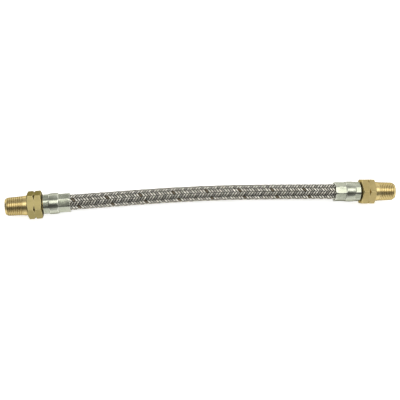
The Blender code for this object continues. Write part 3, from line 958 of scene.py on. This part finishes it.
def wire_material(name, groups, bright, warm, metallic):
    """Drawn wire with painted shade where it dives under the next strand and towards a strand's edges."""
    material, tree, shader, place = start_material(name)
    clouds = place_group(tree, groups["mottle"], {"Vector": place, "Scale": 240.0, "Low": 0.0, "High": 1.0})
    lines = place_group(tree, groups["lines"], {"Vector": place, "Stretch": WIRE_GRAIN})
    tone = mix_colour(tree, clouds, bright, warm)
    line_shade = graded(tree, lines, (0.85, 1.1), NOISE_SPAN)
    tone = shaded(tree, tone, maths(tree, "MULTIPLY", attribute(tree, "wire_tone"), line_shade))
    # Painted shade where the wire lies deep in the weave or near a strand's edge
    painted_shade = graded(tree, attribute(tree, "weave_painted_shade"), (0.0, DEEPEST_PAINTED_SHADE), PAINTED_SHADE_SPAN)
    tone = mix_colour(tree, painted_shade, tone, WIRE_PAINTED_SHADE)
    roughness = graded(tree, clouds, WIRE_ROUGHNESS)
    shader.inputs["Metallic"].default_value = metallic
    shader.inputs["Specular Tint"].default_value = EDGE_TINT
    tree.links.new(tone, shader.inputs["Base Color"])
    tree.links.new(roughness, shader.inputs["Roughness"])
    tree.links.new(bump(tree, lines, WIRE_RELIEF), shader.inputs["Normal"])
    return material


RUBBER_DARK = (0.018, 0.017, 0.016, 1)
RUBBER_DUSTY = (0.055, 0.052, 0.048, 1)
RUBBER_ROUGHNESS = (0.6, 0.85)
RUBBER_RELIEF = 0.00002
RUBBER_GRAIN = (1500.0, 4000.0, 4000.0)


def rubber_material(groups):
    material, tree, shader, place = start_material("black_rubber_tube")
    clouds = place_group(tree, groups["mottle"], {"Vector": place, "Scale": 500.0, "Low": 0.0, "High": 1.0})
    grain = place_group(tree, groups["lines"], {"Vector": place, "Stretch": RUBBER_GRAIN})
    tone = mix_colour(tree, clouds, RUBBER_DARK, RUBBER_DUSTY)
    roughness = graded(tree, clouds, RUBBER_ROUGHNESS)
    tree.links.new(tone, shader.inputs["Base Color"])
    tree.links.new(roughness, shader.inputs["Roughness"])
    tree.links.new(bump(tree, grain, RUBBER_RELIEF), shader.inputs["Normal"])
    return material


# Floor, lights and camera

FLOOR_HALF = 3.0
FLOOR_COLOUR = (0.86, 0.86, 0.85, 1)
FLOOR_GRAIN_COLOUR = (0.87, 0.87, 0.865, 1)
FLOOR_GLOW = 0.70
WINDOW_PLACE = (0, 0.17, 0.92)
WINDOW_SIZE = (1.7, 0.46)
WINDOW_POWER = 4.6
WINDOW_COLOUR = (1, 0.99, 0.965)


def floor_material():
    """Pale matt floor that shows nearly white and keeps a soft shadow."""
    material, tree, shader, place = start_material("pale_floor")
    grain = add_node(tree, "ShaderNodeTexNoise", {"Vector": place, "Scale": 40.0, "Detail": 3.0})
    tone = mix_colour(tree, grain.outputs["Fac"], FLOOR_COLOUR, FLOOR_GRAIN_COLOUR)
    tree.links.new(tone, shader.inputs["Base Color"])
    shader.inputs["Roughness"].default_value = 0.9
    shader.inputs["Specular IOR Level"].default_value = 0.0
    rays = add_node(tree, "ShaderNodeLightPath")
    seen = maths(tree, "MAXIMUM", rays.outputs["Is Camera Ray"], rays.outputs["Is Glossy Ray"])
    seen = maths(tree, "MAXIMUM", seen, rays.outputs["Is Transmission Ray"])
    shader.inputs["Emission Color"].default_value = (1, 1, 1, 1)
    tree.links.new(maths(tree, "MULTIPLY", seen, FLOOR_GLOW), shader.inputs["Emission Strength"])
    return material


def build_floor():
    corners = FLOOR_HALF * np.array([(-1, -1, 0), (1, -1, 0), (1, 1, 0), (-1, 1, 0)])
    floor = add_object("pale_floor", new_mesh("pale_floor", corners, [(0, 1, 2, 3)]), floor_material())


def add_soft_light(name, place, size, power, colour):
    """A rectangular lamp that faces the hose."""
    lamp = bpy.data.lights.new(name, "AREA")
    lamp.shape = "RECTANGLE"
    lamp.size, lamp.size_y = size
    lamp.energy = power
    lamp.color = colour
    thing = bpy.data.objects.new(name, lamp)
    bpy.context.scene.collection.objects.link(thing)
    thing.location = place
    thing.rotation_euler = (-Vector(place)).to_track_quat("-Z", "Y").to_euler()


def build_world():
    """Studio walls round the hose's long axis, from the floor in front over the top to the back."""
    world = bpy.data.worlds.new("pale_studio")
    bpy.context.scene.world = world
    world.use_nodes = True
    tree = world.node_tree
    tree.nodes.clear()
    direction = add_node(tree, "ShaderNodeTexCoord").outputs["Generated"]
    parts = add_node(tree, "ShaderNodeSeparateXYZ", {0: direction}).outputs
    lean = maths(tree, "ARCTAN2", parts["Y"], parts["Z"])
    share = graded(tree, lean, (0.0, 1.0), (-math.pi / 2, math.pi / 2))
    ramp = add_node(tree, "ShaderNodeValToRGB", {0: share})
    ramp.color_ramp.interpolation = "EASE"
    stops = ramp.color_ramp.elements
    while len(stops) < len(STUDIO_SHADES):
        stops.new(0.5)
    for stop, (degrees, shade) in zip(stops, STUDIO_SHADES):
        stop.position = (degrees + 90) / 180
        stop.color = (shade, shade, shade, 1)
    to_right = graded(tree, parts["X"], END_STRENGTHS, END_SPAN)
    end_wall = graded(tree, maths(tree, "ABSOLUTE", parts["X"]), (0.0, 1.0), END_WALL_SPAN)
    shades = mix_colour(tree, end_wall, ramp.outputs[0], END_WALL_SHADE)
    background = add_node(tree, "ShaderNodeBackground", {"Color": shades, "Strength": to_right})
    output = add_node(tree, "ShaderNodeOutputWorld")
    tree.links.new(background.outputs[0], output.inputs["Surface"])


# Degrees from overhead, the back of the studio positive, and how bright the studio is there
STUDIO_SHADES = (
    (-90, 0.90),
    (-70, 0.85),
    (-56, 0.22),
    (-26, 0.11),
    (-8, 0.55),
    (30, 0.60),
    (50, 0.50),
    (72, 0.85),
    (90, 0.65),
)
# The plain walls past the hose's ends, and how far to the side they start and are whole
END_WALL_SHADE = (0.62, 0.62, 0.62, 1)
END_WALL_SPAN = (0.86, 0.99)
# How strong the studio is towards the left end and the right one, and where it changes
END_STRENGTHS = (0.5, 1.6)
END_SPAN = (-0.5, 0.5)


def build_camera():
    lens = bpy.data.cameras.new("photo_view")
    lens.sensor_width = SENSOR_WIDTH
    lens.lens = FOCAL_LENGTH
    lens.clip_start = 0.01
    lens.clip_end = 20
    camera = bpy.data.objects.new("photo_view", lens)
    bpy.context.scene.collection.objects.link(camera)
    camera.location = CAMERA_PLACE
    camera.rotation_euler = CAMERA_TURN
    bpy.context.scene.camera = camera


# Assembly

def end_place(side, turn):
    """From a fitting's own axes, with its tip at the origin, to the row's axes."""
    x = side * OVERALL_LENGTH / 2
    tip = Vector((x, 0, height_at(x))) + Vector(BOX_SHIFT)
    heading = FITTING_TILT if side < 0 else math.pi - FITTING_TILT
    return Matrix.Translation(tip) @ Matrix.Rotation(heading, 4, "Z") @ Matrix.Rotation(turn, 4, "X")


def dress(piece, node):
    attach(piece, "root")
    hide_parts(node)


def main():
    bpy.context.scene.view_settings.view_transform = "Standard"
    build_camera()
    build_world()
    build_floor()
    add_soft_light("long_window", WINDOW_PLACE, WINDOW_SIZE, WINDOW_POWER, WINDOW_COLOUR)

    groups = {"mottle": mottle_group(), "lines": fine_lines_group(), "scuffs": scuff_group()}
    brass = brass_material(groups)
    plated = plated_material(groups)
    wire = wire_material("stainless_wire", groups, WIRE_BRIGHT, WIRE_WARM, 1.0)
    tracer_wire = wire_material("dark_tracer_wire", groups, TRACER_BRIGHT, TRACER_WARM, TRACER_METALLIC)
    rubber = rubber_material(groups)

    route = HoseRoute()
    tube, tube_line = build_tube(route, rubber)
    rng = np.random.default_rng(BRAID_SEED)
    falling = range(CARRIERS // 2)
    rising = [index for index in falling if index != TRACER_STRAND]
    half = CARRIERS // 4
    braid = [
        build_strands("rising_strands_one", route, RISING, rising[:half], wire, rng),
        build_strands("rising_strands_two", route, RISING, rising[half:], wire, rng),
        build_strands("tracer_strand", route, RISING, [TRACER_STRAND], tracer_wire, rng),
        build_strands("falling_strands_one", route, FALLING, falling[:half], wire, rng),
        build_strands("falling_strands_two", route, FALLING, falling[half:], wire, rng),
    ]
    left_fitting = build_fitting("left_brass_fitting", brass, end_place(-1, LEFT_HEX_ROLL), LEFT_DULLNESS)
    right_fitting = build_fitting("right_brass_fitting", brass, end_place(1, RIGHT_HEX_ROLL), RIGHT_DULLNESS)
    left_place = end_place(-1, LEFT_FERRULE_TURN)
    right_place = end_place(1, RIGHT_FERRULE_TURN)
    left_ferrule = build_ferrule("left_crimped_ferrule", plated, left_place, LEFT_FERRULE_SEED)
    right_ferrule = build_ferrule("right_crimped_ferrule", plated, right_place, RIGHT_FERRULE_SEED)

    dress(tube, "inner_tube")
    for strands in braid:
        dress(strands, "braid_sleeve")
    dress(left_fitting, "left_fitting")
    dress(right_fitting, "right_fitting")
    dress(left_ferrule, "left_ferrule")
    dress(right_ferrule, "right_ferrule")


main()
